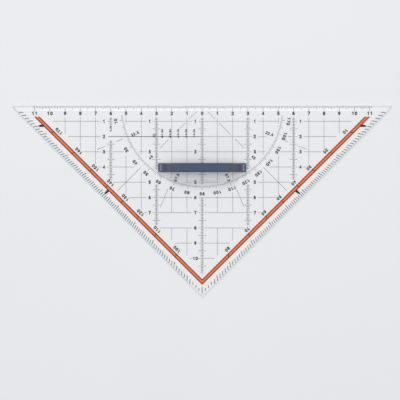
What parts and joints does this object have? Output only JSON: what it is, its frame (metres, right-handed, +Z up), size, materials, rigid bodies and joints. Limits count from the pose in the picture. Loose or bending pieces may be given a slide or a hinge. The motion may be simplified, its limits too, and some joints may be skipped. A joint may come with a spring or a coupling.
{
  "type": "drafting triangle",
  "caption": "Clear right-angled isosceles drafting triangle with printed scales and a half-circle protractor on its underside, and an arched handle that lifts off.",
  "frame": {"origin": "on the paper, under the middle of the outline's box, half way between the long edge and the right-angled corner", "axes": "+X runs along the long edge, +Y points from the right-angled corner to the long edge, +Z points up out of the paper"},
  "size_m": [0.2486, 0.1248, 0.0143],
  "materials": {
    "clear_acrylic": "clear polished acrylic sheet",
    "slate_plastic": "satin moulded plastic, slate blue",
    "black_ink": "matt printing ink on the underside",
    "orange_ink": "bright orange lacquer on the underside"
  },
  "bodies": {
    "plate": {"plate": "clear_acrylic", "long_edge_scale": "black_ink", "short_edge_scale_left": "black_ink", "short_edge_scale_right": "black_ink", "band_left": "orange_ink", "band_right": "orange_ink", "pointers": "black_ink", "protractor_ring": "black_ink", "sloping_lines": "black_ink", "grid_upright": "black_ink", "grid_level": "black_ink", "line_gauge": "black_ink", "upright_scale_outer_left": "black_ink", "upright_scale_inner_left": "black_ink", "upright_scale_centre": "black_ink", "upright_scale_inner_right": "black_ink", "upright_scale_outer_right": "black_ink"},
    "handle": {"handle": "slate_plastic"}
  },
  "joints": [
    {"name": "handle_lift", "type": "slide", "parent": "plate", "child": "handle", "axis": [0, 0, 1], "range_m": [0, 0.012]}
  ]
}
